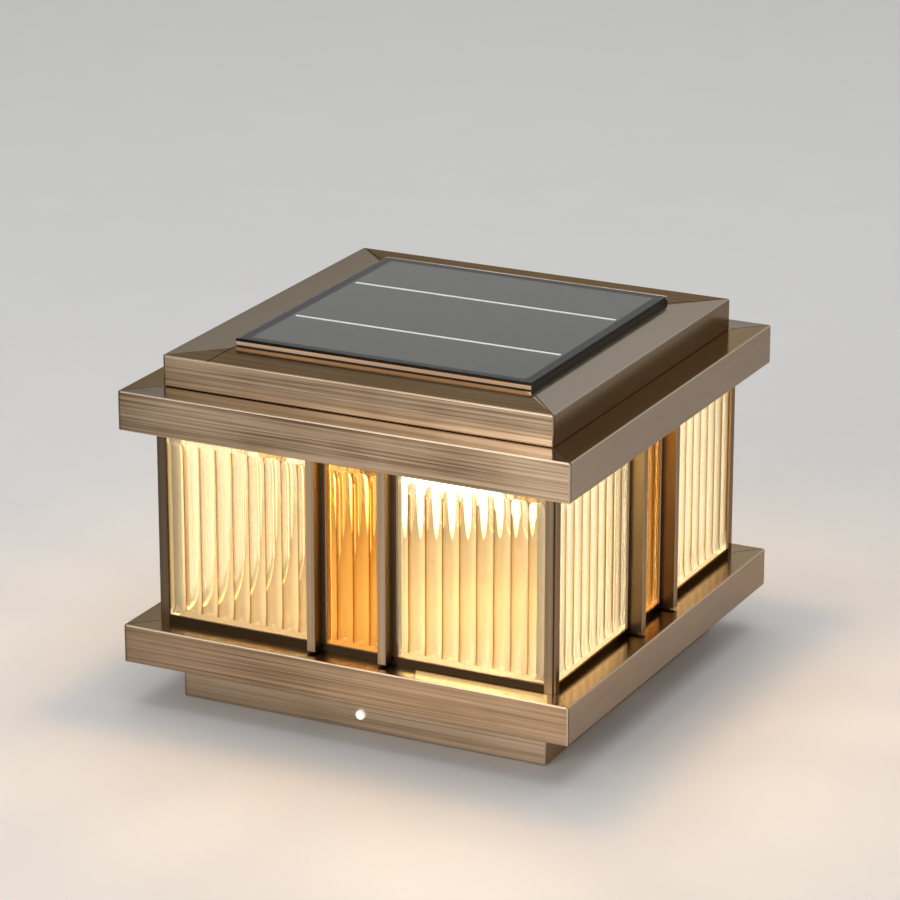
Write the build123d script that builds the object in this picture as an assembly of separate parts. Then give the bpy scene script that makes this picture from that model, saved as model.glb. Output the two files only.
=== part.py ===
from build123d import *
import os

# Solar light for the top of a square garden pillar, in millimetres.
# Origin: middle of the underside, on top of the pillar. +Z is up and -Y is the front.

# Lantern, measured over its face frames.
LANTERN_WIDTH = 223.0
LANTERN_HEIGHT = 104.6

# Folded sheet boxes, stacked from the pillar upwards.
PLINTH_INSET = 22.0
PLINTH_HEIGHT = 22.8
TRAY_LEDGE = 13.5
TRAY_HEIGHT = 20.4
EAVE_OVERHANG = 13.5
EAVE_HEIGHT = 20.8
CAP_INSET = 16.8
CAP_HEIGHT = 16.6
CAP_RIM = 25.7
SHEET = 1.2
BEND_ROUND = 0.8
FLANGE = 12.0
SEAM_WIDTH = 0.7
SEAM_DEPTH = 0.4
SEAM_INSET = 1.2

# Clearances.
SLIP = 0.2
ROOF_CLEAR = 0.8
PLATE_CLEAR = 0.8
NUT_GAP = 0.1
CUT = 1.0

# Mounting plate, bolted to the pillar.
PLATE_THICK = 2.0
PLATE_OPENING = 24.0
ANCHOR_SPACING = 140.0
ANCHOR_HOLE = 9.0
TAB_LENGTH = 60.0
TAB_HEIGHT = 14.0

# Screws that clamp the plinth to the tabs of the mounting plate.
SIDE_SCREW = 3.0
SIDE_SCREW_LENGTH = 9.0
SIDE_SCREW_HEAD = 5.0
SIDE_SCREW_HEAD_HEIGHT = 1.8
SIDE_SCREW_Z = 8.6

# Screws of the folded boxes, two on each side, and of the ceiling plate.
BOX_SCREW = 3.0
BOX_SCREW_LENGTH = 5.0
BOX_SCREW_HEAD = 5.6
BOX_SCREW_HEAD_HEIGHT = 1.8
BOX_SCREW_OFFSET = 60.0

# Hexagon nuts, and the bolts that tie roof, posts and tray together.
NUT_FLATS = 5.5
NUT_HEIGHT = 2.4
TIE_BOLT = 3.0
TIE_BOLT_HEAD_HEIGHT = 2.0
TIE_BOLT_END = 2.0
ACCESS_HOLE = 9.0

# Face frames, corner posts and fins.
FRAME_FACE = 1.0
FRAME_SILL = 4.0
FRAME_HEAD = 4.0
WINDOW_BEVEL = 0.4
BEAD = 3.0
SPINE_WIDTH = 3.0
POST_SIDE = 5.6
POST_REBATE = 1.2
FIN_GAP = 35.0
FIN_WIDTH = 4.8
FIN_PROJECTION = 7.0
FIN_CLEAR = 0.3
FIN_FOOT = 1.2
FIN_ROUND = 0.5

# Fluted panes and what holds them from inside.
PANE_THICK = 4.4
PANE_LAP = 2.5
FLUTE_DEPTH = 1.8
CLEAR_FLUTES = 9
AMBER_FLUTES = 4
STRIP_WIDTH = 11.0
STRIP_THICK = 1.5
ANGLE_LEG = 6.6
ANGLE_THICK = 1.2
STRIP_SCREW = 2.0
STRIP_SCREW_LENGTH = 4.0
STRIP_SCREW_HEAD = 3.8
STRIP_SCREW_HEAD_HEIGHT = 1.2
STRIP_SCREW_INSET = 14.0
REFLECTOR_THICK = 0.8
REFLECTOR_GAP = 1.8

# Roof seal and ceiling plate.
SEAL_THICK = 1.0

# Solar panel, set a little towards the back.
PANEL_SETBACK = 3.6
PANEL_SEAT = 8.0
GASKET_THICK = 0.6
BOARD_THICK = 2.0
BOARD_INSET = 0.2
CELL_MARGIN = 6.0
CELL_THICK = 0.3
BUSBAR_END_GAP = 1.5
BUSBAR_WIDTH = 1.6
BUSBAR_THICK = 0.2
BUSBAR_SPACING = 66.0
GLASS_THICK = 1.4
GLASS_BEVEL = 0.4

# Lamp under the ceiling plate.
SINK_DIAMETER = 64.0
SINK_THICK = 8.0
SINK_GROOVE = 1.2
SINK_GROOVE_DEPTH = 3.0
SINK_GROOVES = 3
LED_BOARD_DIAMETER = 48.0
LED_BOARD_THICK = 1.6
LED_COUNT = 12
LED_RING = 28.0
LED_SIDE = 3.0
LED_HEIGHT = 0.8
DIFFUSER_DIAMETER = 54.0
DIFFUSER_DROP = 70.0
DIFFUSER_WALL = 2.0
DIFFUSER_RIM = 3.0
DIFFUSER_RIM_HEIGHT = 3.0

# Battery.
BATTERY_X = -32.0
BATTERY_Y = 26.0
BATTERY_CELL_DIAMETER = 18.4
BATTERY_CELL_LENGTH = 65.0
BATTERY_CELL_SPACING = 20.0
HOLDER_WALL = 3.0
HOLDER_FLOOR = 2.0

# Charge controller.
CONTROLLER_X = 46.0
CONTROLLER_Y = -36.0
CONTROLLER_LENGTH = 60.0
CONTROLLER_WIDTH = 44.0
CONTROLLER_THICK = 1.6
STANDOFF_HEIGHT = 5.0
STANDOFF_DIAMETER = 5.0
STANDOFF_INSET = 4.0
CONNECTOR_SIDE = 7.0
CONNECTOR_HEIGHT = 5.0
CONNECTOR_INSET = 7.0
COIL_DIAMETER = 11.0
COIL_HEIGHT = 6.0
CHIP_LENGTH = 9.0
CHIP_WIDTH = 7.0
CHIP_HEIGHT = 1.6

# Leads between the boards, battery, lamp, panel and switch.
LEAD = 2.4
LEAD_BEND = 5.0
LED_LEAD_X = -6.0
LED_LEAD_INSET = 6.0
PANEL_LEAD_RUN = 26.0
SWITCH_LEAD_JOG = 25.0

# Power switch under the eave, at the back.
SWITCH_X = 75.0
SWITCH_BEZEL = 8.4
SWITCH_BEZEL_HEIGHT = 0.8
SWITCH_BUSH = 6.4
SWITCH_SIDE = 9.0
SWITCH_BODY_HEIGHT = 12.0
SWITCH_STEM = 5.0
BUTTON_DIAMETER = 4.4
BUTTON_PROUD = 2.0
BUTTON_TRAVEL = 1.5
BUTTON_ROUND = 0.6

# Sides and corners, each a quarter turn about +Z from the one before.
SIDES = ("front", "right", "back", "left")
CORNERS = ("front_right", "back_right", "back_left", "front_left")

# Widths that follow from the lantern and the ledges.
LANTERN_HALF = LANTERN_WIDTH / 2
TRAY_HALF = LANTERN_HALF + TRAY_LEDGE
PLINTH_HALF = TRAY_HALF - PLINTH_INSET
EAVE_HALF = LANTERN_HALF + EAVE_OVERHANG
CAP_HALF = EAVE_HALF - CAP_INSET
PANEL_HALF = CAP_HALF - CAP_RIM
CELL_HALF = PANEL_HALF - CELL_MARGIN

# Heights that follow from the stack.
TRAY_LOW = PLINTH_HEIGHT
LANTERN_LOW = TRAY_LOW + TRAY_HEIGHT
EAVE_LOW = LANTERN_LOW + LANTERN_HEIGHT
CAP_LOW = EAVE_LOW + EAVE_HEIGHT
PANEL_LOW = CAP_LOW + CAP_HEIGHT
CEILING_LOW = EAVE_LOW + SHEET
CEILING_HIGH = CEILING_LOW + SHEET
FRAME_HIGH = CEILING_LOW - SEAL_THICK
WINDOW_LOW = LANTERN_LOW + FRAME_SILL
WINDOW_HIGH = EAVE_LOW - FRAME_HEAD

# Square openings in the folded boxes, as half widths.
PLINTH_HOLE = PLINTH_HALF - SHEET - FLANGE
EAVE_HOLE = LANTERN_HALF + ROOF_CLEAR
CAP_HOLE = CAP_HALF - SHEET - FLANGE
PANEL_HOLE = PANEL_HALF - PANEL_SEAT

# Depths into the lantern, as distances from its axis.
FRAME_BACK = LANTERN_HALF - FRAME_FACE
POST_INNER = LANTERN_HALF - POST_SIDE
POST_CENTRE = LANTERN_HALF - POST_SIDE / 2
FRAME_HALF = POST_INNER - NUT_GAP
PANE_FRONT = FRAME_BACK - SLIP
PANE_BACK = PANE_FRONT - PANE_THICK
STRIP_FRONT = PANE_BACK - NUT_GAP
FIN_CENTRE = (FIN_GAP + FIN_WIDTH) / 2
AMBER_WINDOW = FIN_GAP / 2 - BEAD
CLEAR_WINDOW = FIN_GAP / 2 + FIN_WIDTH + BEAD
TIE_HOLE = TIE_BOLT + 2 * SLIP


def block(x0, x1, y0, y1, z0, z1):
    """Box between two opposite corners."""
    return Pos((x0 + x1) / 2, (y0 + y1) / 2, (z0 + z1) / 2) * Box(x1 - x0, y1 - y0, z1 - z0)


def slab(half, low, high):
    """Square slab about the axis."""
    return block(-half, half, -half, half, low, high)


def pin(x, y, low, high, diameter):
    """Upright cylinder."""
    return Pos(x, y, (low + high) / 2) * Cylinder(diameter / 2, high - low)


def turned(shape):
    """Four copies of a shape, one for each side or corner in turn."""
    return [Rot(0, 0, 360 / len(SIDES) * count) * shape for count in range(len(SIDES))]


def without(shape, cuts):
    """Shape with each cut taken away."""
    for cut in cuts:
        shape = shape - cut
    return shape


def group(shapes):
    """Loose pieces of one kind, kept as separate solids."""
    return Compound([shape.solid() for shape in shapes])


def screw(diameter, length, head, head_height):
    """Round-headed screw: seated at z = 0, head above, shank below, cross recess on top."""
    dome = Pos(0, 0, head_height / 2) * Cylinder(head / 2, head_height)
    dome = fillet(dome.edges().group_by(Axis.Z)[-1], head_height / 2)
    shank = Pos(0, 0, -length / 2) * Cylinder(diameter / 2, length)
    arm = Pos(0, 0, head_height) * Box(head / 2, head / 9, head_height / 2)
    return dome + shank - arm - Rot(0, 0, 90) * arm


def hexagon(height):
    """Hexagon block standing on z = 0."""
    return extrude(RegularPolygon(NUT_FLATS / 2, 6, major_radius=False), height, dir=(0, 0, 1))


def nut(bore, height):
    """Hexagon nut standing on z = 0."""
    return hexagon(height) - pin(0, 0, -CUT, height + CUT, bore)


def folded_box(half, low, high, hole_below, hole_above):
    """Box folded from sheet, with rounded bends, square openings and an open seam up each corner."""
    cavity_low = low + SHEET if hole_below < half - SHEET else low - CUT
    shell = fillet(slab(half, low, high).edges(), BEND_ROUND) - slab(half - SHEET, cavity_low, high - SHEET)
    if cavity_low > low:
        shell = shell - slab(hole_below, low - CUT, low + SHEET + CUT)
    if hole_above:
        shell = shell - slab(hole_above, high - SHEET - CUT, high + CUT)
    seam_y = SEAM_INSET - half
    seam = block(
        half - SEAM_DEPTH, half + CUT, seam_y - SEAM_WIDTH / 2, seam_y + SEAM_WIDTH / 2, low - CUT, high + CUT
    )
    return without(shell, turned(seam))


def seam(start, end, level):
    """Shallow groove in a top face from one point to another."""
    run = Vector(end) - Vector(start)
    middle = Vector(start) + run / 2
    angle = Vector(1, 0).get_signed_angle(run, Vector(0, 0, 1))
    return Pos(middle.X, middle.Y, level) * Rot(0, 0, angle) * Box(run.length, SEAM_WIDTH, 2 * SEAM_DEPTH)


def mitres(inner, outer, level):
    """Seams across the corners of a top face, from one half width to another."""
    return turned(seam((inner, inner), (outer, outer), level))


def flange_points(distance):
    """Two screw places on each side, at a distance from the axis."""
    front = [(-BOX_SCREW_OFFSET, -distance), (BOX_SCREW_OFFSET, -distance)]
    places = []
    for x, y in front:
        places += [(x, y), (-y, x), (-x, -y), (y, -x)]
    return places


def corner_points(distance):
    """The same place in each corner."""
    return [(x, y) for x in (-distance, distance) for y in (-distance, distance)]


def screws_from_below(places, seat):
    """Box screws driven upwards, with their heads under the sheet at seat."""
    one = Rot(180, 0, 0) * screw(BOX_SCREW, BOX_SCREW_LENGTH, BOX_SCREW_HEAD, BOX_SCREW_HEAD_HEIGHT)
    return group([Pos(x, y, seat) * one for x, y in places])


def holes(places, low, high, diameter):
    """Upright holes, a little longer than the sheet they go through."""
    return [pin(x, y, low - CUT, high + CUT, diameter) for x, y in places]


def side_hole(y, height, diameter, depth):
    """Hole through the front side, centred on depth y."""
    return Pos(0, y, height) * Rot(90, 0, 0) * Cylinder(diameter / 2, depth)


BOX_HOLE = BOX_SCREW + 2 * SLIP
PLINTH_SCREWS = flange_points(PLINTH_HALF - SHEET - FLANGE / 2)
CAP_SCREWS = flange_points(CAP_HALF - SHEET - FLANGE / 2)
CEILING_SCREWS = corner_points((EAVE_HOLE + EAVE_HALF - SHEET) / 2)
TIE_POINTS = corner_points(POST_CENTRE)
SOFFIT_Y = (EAVE_HOLE + EAVE_HALF - SHEET) / 2
PLATE_HALF = PLINTH_HALF - SHEET - PLATE_CLEAR
TAB_INNER = PLATE_HALF - PLATE_THICK


def mounting_plate():
    """Steel plate on the pillar, with four anchor holes and an upturned, slotted tab on each side."""
    plate = slab(PLATE_HALF, 0, PLATE_THICK) - pin(0, 0, -CUT, PLATE_THICK + CUT, PLATE_OPENING)
    tab = block(-TAB_LENGTH / 2, TAB_LENGTH / 2, -PLATE_HALF, -TAB_INNER, 0, TAB_HEIGHT)
    slot_width = SIDE_SCREW + 2 * SLIP
    slot = block(
        -slot_width / 2, slot_width / 2, -PLATE_HALF - CUT, CUT - TAB_INNER, SIDE_SCREW_Z, TAB_HEIGHT + CUT
    )
    tab = tab - slot - side_hole(-PLATE_HALF, SIDE_SCREW_Z, slot_width, 4 * PLATE_THICK)
    for copy in turned(tab):
        plate = plate + copy
    return without(plate, holes(corner_points(ANCHOR_SPACING / 2), 0, PLATE_THICK, ANCHOR_HOLE))


def plinth_skirt():
    """Open skirt over the mounting plate, with a screw hole in the middle of each side."""
    skirt = folded_box(PLINTH_HALF, 0, TRAY_LOW, PLINTH_HALF - SHEET, PLINTH_HOLE)
    skirt = without(skirt, turned(side_hole(-PLINTH_HALF, SIDE_SCREW_Z, SIDE_SCREW + 2 * SLIP, 4 * SHEET)))
    return without(skirt, holes(PLINTH_SCREWS, TRAY_LOW - SHEET, TRAY_LOW, BOX_HOLE))


def side_screws():
    """One bright screw in the middle of each side of the plinth."""
    one = screw(SIDE_SCREW, SIDE_SCREW_LENGTH, SIDE_SCREW_HEAD, SIDE_SCREW_HEAD_HEIGHT)
    return group(turned(Pos(0, -PLINTH_HALF, SIDE_SCREW_Z) * Rot(90, 0, 0) * one))


def side_nuts():
    """Nuts of the side screws, just inside the tabs."""
    one = Rot(-90, 0, 0) * nut(SIDE_SCREW + NUT_GAP, NUT_HEIGHT)
    return group(turned(Pos(0, NUT_GAP - TAB_INNER, SIDE_SCREW_Z) * one))


def base_tray():
    """Wide folded tray that carries the lantern, open underneath inside the plinth."""
    tray = folded_box(TRAY_HALF, TRAY_LOW, LANTERN_LOW, PLINTH_HOLE, 0)
    tray = without(tray, mitres(LANTERN_HALF, TRAY_HALF, LANTERN_LOW))
    tray = without(tray, holes(PLINTH_SCREWS, TRAY_LOW, TRAY_LOW + SHEET, BOX_HOLE))
    tray = without(tray, holes(TIE_POINTS, LANTERN_LOW - SHEET, LANTERN_LOW, TIE_HOLE))
    return without(tray, holes(TIE_POINTS, TRAY_LOW, TRAY_LOW + SHEET, ACCESS_HOLE))


def corner_post():
    """Square tube in the front right corner, bored for its tie bolt, with a rebate up its outer edge."""
    post = block(POST_INNER, LANTERN_HALF, -LANTERN_HALF, -POST_INNER, LANTERN_LOW, FRAME_HIGH)
    edge = LANTERN_HALF - POST_REBATE
    post = post - block(edge, LANTERN_HALF + CUT, -LANTERN_HALF - CUT, -edge, LANTERN_LOW - CUT, FRAME_HIGH + CUT)
    return post - pin(POST_CENTRE, -POST_CENTRE, LANTERN_LOW - CUT, FRAME_HIGH + CUT, TIE_HOLE)


def strip_screw_heights():
    """Heights of the two screws of each glazing strip."""
    return WINDOW_LOW + STRIP_SCREW_INSET, WINDOW_HIGH - STRIP_SCREW_INSET


def side_frame():
    """Face frame of the front: two rails between the posts, two bars, and a spine behind each bar."""
    frame = block(-FRAME_HALF, FRAME_HALF, -LANTERN_HALF, -FRAME_BACK, LANTERN_LOW, FRAME_HIGH)
    past = FRAME_HALF + CUT
    for left, right in [(-past, -CLEAR_WINDOW), (-AMBER_WINDOW, AMBER_WINDOW), (CLEAR_WINDOW, past)]:
        frame = frame - block(left, right, -LANTERN_HALF - CUT, CUT - FRAME_BACK, WINDOW_LOW, WINDOW_HIGH)
    face = frame.faces().sort_by(Axis.Y)[0]
    rims = face.edges().filter_by_position(Axis.Z, WINDOW_LOW, WINDOW_HIGH)
    frame = chamfer(rims.filter_by_position(Axis.X, -FRAME_HALF, FRAME_HALF, (False, False)), WINDOW_BEVEL)
    hole_depth = 2 * (STRIP_SCREW_LENGTH - STRIP_THICK) + CUT
    for x in (-FIN_CENTRE, FIN_CENTRE):
        left = x - SPINE_WIDTH / 2
        frame = frame + block(left, left + SPINE_WIDTH, -FRAME_BACK, -STRIP_FRONT, LANTERN_LOW, FRAME_HIGH)
        for z in strip_screw_heights():
            frame = frame - Pos(x, 0, 0) * side_hole(-STRIP_FRONT, z, STRIP_SCREW + NUT_GAP, hole_depth)
    return frame


def fin(x):
    """Upright bar on the face frame of the front."""
    bar = block(
        x - FIN_WIDTH / 2,
        x + FIN_WIDTH / 2,
        -LANTERN_HALF - FIN_PROJECTION,
        -LANTERN_HALF,
        LANTERN_LOW + FIN_FOOT,
        EAVE_LOW - FIN_CLEAR,
    )
    return fillet(bar.faces().sort_by(Axis.Y)[0].edges(), FIN_ROUND)


def fluted_pane(left, right, flutes):
    """Pane of the front: flat inside, hollowed outside into upright flutes with ridges between them."""
    pitch = (right - left) / flutes
    ridge = -PANE_FRONT
    outline = [Polyline((right, ridge), (right, -PANE_BACK), (left, -PANE_BACK), (left, ridge))]
    for count in range(flutes):
        start = left + count * pitch
        outline.append(
            ThreePointArc((start, ridge), (start + pitch / 2, ridge + FLUTE_DEPTH), (start + pitch, ridge))
        )
    low = LANTERN_LOW + FIN_CLEAR
    high = WINDOW_HIGH + PANE_LAP
    return Pos(0, 0, low) * extrude(make_face(outline), high - low, dir=(0, 0, 1))


def glazing_strip(x):
    """Flat strip behind a fin of the front, which holds the edges of two panes."""
    strip = block(
        x - STRIP_WIDTH / 2,
        x + STRIP_WIDTH / 2,
        -STRIP_FRONT,
        STRIP_THICK - STRIP_FRONT,
        WINDOW_LOW,
        WINDOW_HIGH,
    )
    for z in strip_screw_heights():
        strip = strip - Pos(x, 0, 0) * side_hole(-STRIP_FRONT, z, STRIP_SCREW + 2 * SLIP, 4 * STRIP_THICK)
    return strip


def glazing_strips():
    """Two strips on each side of the lantern."""
    return group(turned(glazing_strip(-FIN_CENTRE)) + turned(glazing_strip(FIN_CENTRE)))


def strip_screws():
    """Small screws that hold the glazing strips to the spines."""
    one = screw(STRIP_SCREW, STRIP_SCREW_LENGTH, STRIP_SCREW_HEAD, STRIP_SCREW_HEAD_HEIGHT)
    placed = []
    for x in (-FIN_CENTRE, FIN_CENTRE):
        for z in strip_screw_heights():
            placed += turned(Pos(x, STRIP_THICK - STRIP_FRONT, z) * Rot(-90, 0, 0) * one)
    return group(placed)


def corner_angle():
    """Folded strip inside the front right post, which holds the outer edges of two panes."""
    outer = min(STRIP_FRONT, POST_INNER - NUT_GAP)
    inner = outer - ANGLE_THICK
    front_leg = block(outer - ANGLE_LEG, outer, -outer, -inner, WINDOW_LOW, WINDOW_HIGH)
    side_leg = block(inner, outer, -outer, ANGLE_LEG - outer, WINDOW_LOW, WINDOW_HIGH)
    return front_leg + side_leg


def floor_reflector():
    """White sheet on the floor of the lantern."""
    return slab(POST_INNER - REFLECTOR_GAP, LANTERN_LOW, LANTERN_LOW + REFLECTOR_THICK)


def tie_bolts():
    """Long bolts from the ceiling plate through the posts and the top of the tray."""
    end = LANTERN_LOW - SHEET - NUT_HEIGHT - TIE_BOLT_END
    head = hexagon(TIE_BOLT_HEAD_HEIGHT)
    bolts = []
    for x, y in TIE_POINTS:
        bolts.append(Pos(x, y, CEILING_HIGH) * head + pin(x, y, end, CEILING_HIGH, TIE_BOLT))
    return group(bolts)


def tie_nuts():
    """Nuts of the tie bolts, under the top of the tray."""
    one = nut(TIE_BOLT + NUT_GAP, NUT_HEIGHT)
    return group([Pos(x, y, LANTERN_LOW - SHEET - NUT_HEIGHT) * one for x, y in TIE_POINTS])


def roof_seal():
    """Soft seal between the lantern and the ceiling plate."""
    seal = slab(LANTERN_HALF - SLIP, FRAME_HIGH, CEILING_LOW) - slab(POST_INNER, FRAME_HIGH - CUT, CEILING_LOW + CUT)
    return without(seal, holes(TIE_POINTS, FRAME_HIGH, CEILING_LOW, TIE_HOLE))


def led_lead_place():
    """Where the lamp's lead goes down through the ceiling plate to its board."""
    return LED_LEAD_X, LED_LEAD_INSET - LED_BOARD_DIAMETER / 2


def ceiling_plate():
    """Sheet on the flange of the eave, which carries the lamp below and the electronics above."""
    plate = slab(EAVE_HALF - SHEET - SLIP, CEILING_LOW, CEILING_HIGH)
    plate = without(plate, holes(TIE_POINTS, CEILING_LOW, CEILING_HIGH, TIE_HOLE))
    plate = without(plate, holes(CEILING_SCREWS, CEILING_LOW, CEILING_HIGH, BOX_HOLE))
    plate = without(plate, holes([led_lead_place()], CEILING_LOW, CEILING_HIGH, LEAD + 4 * SLIP))
    return without(plate, holes([(SWITCH_X, SOFFIT_Y)], CEILING_LOW, CEILING_HIGH, SWITCH_BUSH + 2 * SLIP))


def eave_tray():
    """Wide folded roof tray, flanged underneath round the lantern."""
    tray = folded_box(EAVE_HALF, EAVE_LOW, CAP_LOW, EAVE_HOLE, CAP_HOLE)
    tray = without(tray, mitres(CAP_HALF, EAVE_HALF, CAP_LOW))
    tray = without(tray, holes(CEILING_SCREWS, EAVE_LOW, CEILING_LOW, BOX_HOLE))
    tray = without(tray, holes(CAP_SCREWS, CAP_LOW - SHEET, CAP_LOW, BOX_HOLE))
    return without(tray, holes([(SWITCH_X, SOFFIT_Y)], EAVE_LOW, CEILING_LOW, SWITCH_BUSH + 2 * SLIP))


def set_back(shape):
    """Shape about the axis, moved to the middle of the solar panel."""
    return Pos(0, PANEL_SETBACK, 0) * shape


def cap_box():
    """Smaller folded box on the eave, whose rim carries the solar panel, with seams at the corners of the rim."""
    cap = folded_box(CAP_HALF, CAP_LOW, PANEL_LOW, CAP_HOLE, 0)
    cap = cap - set_back(slab(PANEL_HOLE, PANEL_LOW - SHEET - CUT, PANEL_LOW + CUT))
    front = PANEL_SETBACK - PANEL_HALF
    back = PANEL_SETBACK + PANEL_HALF
    cap = cap - seam((-PANEL_HALF, front), (-PANEL_HALF, -CAP_HALF), PANEL_LOW)
    cap = cap - seam((PANEL_HALF, front), (CAP_HALF, -CAP_HALF), PANEL_LOW)
    cap = cap - seam((PANEL_HALF, back), (CAP_HALF, CAP_HALF), PANEL_LOW)
    cap = cap - seam((-PANEL_HALF, back), (-CAP_HALF, CAP_HALF), PANEL_LOW)
    return without(cap, holes(CAP_SCREWS, CAP_LOW, CAP_LOW + SHEET, BOX_HOLE))


BOARD_LOW = PANEL_LOW + GASKET_THICK
CELL_LOW = BOARD_LOW + BOARD_THICK
BUSBAR_LOW = CELL_LOW + CELL_THICK
GLASS_HIGH = CELL_LOW + GLASS_THICK


def panel_gasket():
    """Rubber frame between the cap's rim and the panel."""
    frame = slab(PANEL_HALF, PANEL_LOW, BOARD_LOW) - slab(PANEL_HOLE, PANEL_LOW - CUT, BOARD_LOW + CUT)
    return set_back(frame)


def panel_board():
    """Carrier plate of the panel, set back a little behind the edge of the glass."""
    return set_back(slab(PANEL_HALF - BOARD_INSET, BOARD_LOW, CELL_LOW))


def solar_cell():
    """Dark cell on the carrier plate."""
    return set_back(slab(CELL_HALF, CELL_LOW, BUSBAR_LOW))


def busbars():
    """Two silver ribbons along the cell."""
    end = CELL_HALF - BUSBAR_END_GAP
    side = BUSBAR_WIDTH / 2
    ribbon = block(-end, end, -side, side, BUSBAR_LOW, BUSBAR_LOW + BUSBAR_THICK)
    return group([set_back(Pos(0, place * BUSBAR_SPACING / 2, 0) * ribbon) for place in (-1, 1)])


def panel_glass():
    """Cover glass, hollowed underneath for the cell and its ribbons."""
    glass = slab(PANEL_HALF, CELL_LOW, GLASS_HIGH)
    glass = chamfer(glass.faces().sort_by(Axis.Z)[-1].edges(), GLASS_BEVEL)
    pocket = slab(CELL_HALF + SLIP, CELL_LOW - CUT, BUSBAR_LOW + BUSBAR_THICK + NUT_GAP)
    return set_back(glass - pocket)


SINK_LOW = CEILING_LOW - SINK_THICK
LED_BOARD_LOW = SINK_LOW - LED_BOARD_THICK


def heat_sink():
    """Grooved aluminium disc under the ceiling plate."""
    sink = pin(0, 0, SINK_LOW, CEILING_LOW, SINK_DIAMETER)
    step = SINK_THICK / (SINK_GROOVES + 1)
    core = SINK_DIAMETER - 2 * SINK_GROOVE_DEPTH
    for count in range(SINK_GROOVES):
        low = SINK_LOW + (count + 1) * step - SINK_GROOVE / 2
        high = low + SINK_GROOVE
        sink = sink - (pin(0, 0, low, high, SINK_DIAMETER + CUT) - pin(0, 0, low - CUT, high + CUT, core))
    return without(sink, holes([led_lead_place()], SINK_LOW, CEILING_LOW, LEAD + 4 * SLIP))


def led_board():
    """Round board with a ring of light-emitting chips on its underside."""
    board = pin(0, 0, LED_BOARD_LOW, SINK_LOW, LED_BOARD_DIAMETER)
    side = LED_SIDE / 2
    chip = Pos(LED_RING / 2, 0, 0) * block(-side, side, -side, side, LED_BOARD_LOW - LED_HEIGHT, LED_BOARD_LOW)
    for count in range(LED_COUNT):
        board = board + Rot(0, 0, 360 / LED_COUNT * count) * chip
    return board


def dome(radius, low, high):
    """Upright cylinder with a half-round lower end."""
    middle = low + radius
    return pin(0, 0, middle, high, 2 * radius) + Pos(0, 0, middle) * Sphere(radius)


def diffuser():
    """Opal dome over the lamp, with a rim under the heat sink."""
    radius = DIFFUSER_DIAMETER / 2
    low = SINK_LOW - DIFFUSER_DROP
    shell = dome(radius, low, SINK_LOW)
    shell = shell + pin(0, 0, SINK_LOW - DIFFUSER_RIM_HEIGHT, SINK_LOW, DIFFUSER_DIAMETER + 2 * DIFFUSER_RIM)
    return shell - dome(radius - DIFFUSER_WALL, low + DIFFUSER_WALL, SINK_LOW + CUT)


HOLDER_BORE = BATTERY_CELL_DIAMETER + 2 * SLIP
HOLDER_LENGTH = BATTERY_CELL_LENGTH + 2 * SLIP + 2 * HOLDER_WALL
HOLDER_WIDTH = BATTERY_CELL_SPACING + HOLDER_BORE + 2 * HOLDER_WALL
CELL_AXIS = CEILING_HIGH + HOLDER_FLOOR + HOLDER_BORE / 2


def battery_rod(diameter, length):
    """Two cylinders side by side, where the cells lie."""
    rod = Rot(0, 90, 0) * Cylinder(diameter / 2, length)
    sides = (-BATTERY_CELL_SPACING / 2, BATTERY_CELL_SPACING / 2)
    return [Pos(BATTERY_X, BATTERY_Y + side, CELL_AXIS) * rod for side in sides]


def battery_cells():
    """Two round cells."""
    return group(battery_rod(BATTERY_CELL_DIAMETER, BATTERY_CELL_LENGTH))


def battery_holder():
    """Plastic holder on the ceiling plate, open at the top, with two round troughs."""
    x = HOLDER_LENGTH / 2
    y = HOLDER_WIDTH / 2
    holder = block(BATTERY_X - x, BATTERY_X + x, BATTERY_Y - y, BATTERY_Y + y, CEILING_HIGH, CELL_AXIS)
    return without(holder, battery_rod(HOLDER_BORE, BATTERY_CELL_LENGTH + 2 * SLIP))


CONTROLLER_LOW = CEILING_HIGH + STANDOFF_HEIGHT
CONTROLLER_HIGH = CONTROLLER_LOW + CONTROLLER_THICK
CONTROLLER_LEFT = CONTROLLER_X - CONTROLLER_LENGTH / 2
CONTROLLER_RIGHT = CONTROLLER_X + CONTROLLER_LENGTH / 2
CONTROLLER_FRONT = CONTROLLER_Y - CONTROLLER_WIDTH / 2
CONTROLLER_BACK = CONTROLLER_Y + CONTROLLER_WIDTH / 2
CONNECTOR_LEVEL = CONTROLLER_HIGH + CONNECTOR_HEIGHT / 2


def connector(x, y):
    """Plug block on the controller."""
    side = CONNECTOR_SIDE / 2
    return block(x - side, x + side, y - side, y + side, CONTROLLER_HIGH, CONTROLLER_HIGH + CONNECTOR_HEIGHT)


BATTERY_PLUG_X = CONTROLLER_LEFT + CONNECTOR_INSET + CONNECTOR_SIDE
SWITCH_PLUG_X = CONTROLLER_RIGHT - CONNECTOR_INSET - CONNECTOR_SIDE
BACK_PLUG_Y = CONTROLLER_BACK - CONNECTOR_SIDE / 2
LED_PLUG_X = CONTROLLER_LEFT + CONNECTOR_SIDE / 2
PANEL_PLUG_Y = CONTROLLER_FRONT + CONNECTOR_INSET + CONNECTOR_SIDE / 2


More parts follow.
